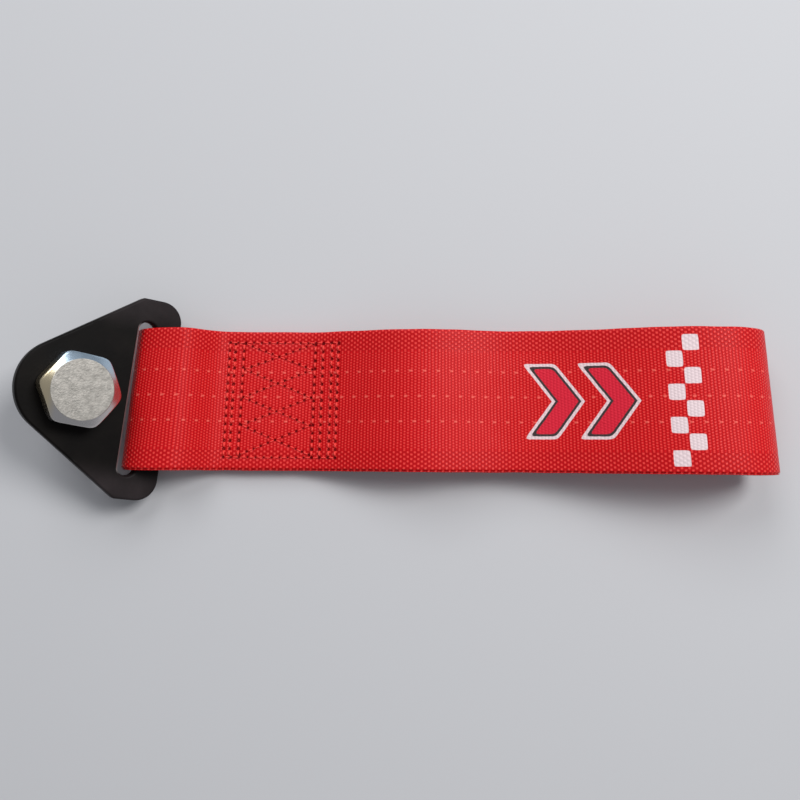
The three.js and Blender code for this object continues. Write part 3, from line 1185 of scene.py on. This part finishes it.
def bolt_mesh():
    points = [(0.0, 0.0, HEAD_TOP)]
    rings = bolt_rings()
    for ring in rings:
        for k in range(AROUND):
            turn = 2 * math.pi * k / AROUND
            radius, height = ring(turn)
            points.append((radius * math.cos(turn), radius * math.sin(turn), height))
    points.append((0.0, 0.0, TIP))
    faces = [(0, 1 + k, 1 + (k + 1) % AROUND) for k in range(AROUND)]
    for ring in range(len(rings) - 1):
        for k in range(AROUND):
            a = 1 + ring * AROUND + k
            b = 1 + ring * AROUND + (k + 1) % AROUND
            faces.append((a, a + AROUND, b + AROUND, b))
    last = 1 + (len(rings) - 1) * AROUND
    faces += [(last + k, len(points) - 1, last + (k + 1) % AROUND) for k in range(AROUND)]
    mesh = bpy.data.meshes.new("bolt_turned")
    mesh.from_pydata([plate_point(HOLE_U + x, y, n) for x, y, n in points], [], faces)
    keep_vectors(mesh, "turned", points)
    mesh.polygons.foreach_set("use_smooth", [True] * len(faces))
    return mesh


# %% [markdown]
# Zinc plating is dull and finely pitted on the forged top, and bright on the pressed
# chamfers and sides. There the zinc's own faint blue and straw tints are laid out by
# side as a painted reflection: blue towards the upper side, straw on the left.

# %% Bolt finish
bolt_zinc = Finish("bolt_zinc", Metallic=1.0)
bolt_x, bolt_y, bolt_n = bolt_zinc.parts(bolt_zinc.attribute("turned"))
from_axis = (bolt_x * bolt_x + bolt_y * bolt_y).root()
on_face = from_axis.rise(10.35, 10.15) * bolt_n.rise(12.5, 12.7)
pits = bolt_zinc.cloud(1400.0, 4.0, 0.65)
stains = bolt_zinc.cloud(420.0, 4.0, 0.65)
# Painted reflection: blue towards the upper side and straw on the left, over the plating's own
# tints.
zinc_and_painted_reflection = bolt_y.rise(3.0, 10.0).colour_mix(rgb(206, 202, 200), rgb(186, 206, 222))
zinc_and_painted_reflection = (bolt_x.rise(-7.0, -11.0) * 0.8).colour_mix(zinc_and_painted_reflection, rgb(226, 208, 166))
dull_zinc = stains.rise(0.3, 0.7).colour_mix(rgb(145, 142, 136), rgb(174, 170, 163))
zinc_colour = on_face.colour_mix(zinc_and_painted_reflection, dull_zinc)
bolt_zinc.feed("Base Color", zinc_colour)
bolt_zinc.feed("Roughness", 0.22 + on_face * 0.26 + stains * 0.08)
pitting = pits * on_face + stains * on_face * 0.5 + pits * 0.10
bolt_zinc.feed("Normal", bolt_zinc.relief(pitting, 0.00008))
add_object("bolt_threaded", bolt_mesh(), bolt_zinc, "bolt", "bolt", "bolt")

# %% [markdown]
# The floor is plain and pale. The light is a studio's: a soft one from beyond the strap,
# and a stronger one from the right, so that the webbing is bright where it leans right
# and dark where it turns down at the slot. A dim even sky fills the shadows.

# %% Floor and lights
FLOOR_HALF = 3.0
SKY_COLOUR = (0.9, 0.93, 1.0, 1.0)
SKY_STRENGTH = 0.31

floor_mesh = bpy.data.meshes.new("floor")
corners = [(x * FLOOR_HALF, y * FLOOR_HALF, 0) for x, y in ((-1, -1), (1, -1), (1, 1), (-1, 1))]
floor_mesh.from_pydata(corners, [], [(0, 1, 2, 3)])
floor = bpy.data.objects.new("floor", floor_mesh)
bpy.context.collection.objects.link(floor)
floor_grey = Finish("floor_grey", Roughness=0.85)
floor_grey.shader.inputs["Base Color"].default_value = rgb(196, 196, 198)
floor_mesh.materials.append(floor_grey.material)


def soft_light(name, place, size, power, colour=(1.0, 1.0, 1.0)):
    """A square area light that faces the strap."""
    lamp = bpy.data.lights.new(name, "AREA")
    lamp.size = size
    lamp.energy = power
    lamp.color = colour
    stand = bpy.data.objects.new(name, lamp)
    stand.location = place
    stand.rotation_euler = Vector(place).to_track_quat("Z", "Y").to_euler()
    bpy.context.collection.objects.link(stand)
    print(name, "is", size, "m wide and gives", power, "W")


soft_light("key_right", (0.62, 0.42, 0.95), 0.45, 9.8)
soft_light("fill_far", (-0.30, 0.85, 0.85), 0.7, 6.2, (0.96, 0.98, 1.0))
world = bpy.data.worlds.new("studio")
world.use_nodes = True
world.node_tree.nodes["Background"].inputs["Color"].default_value = SKY_COLOUR
world.node_tree.nodes["Background"].inputs["Strength"].default_value = SKY_STRENGTH
bpy.context.scene.world = world
bpy.context.scene.view_settings.view_transform = "Standard"
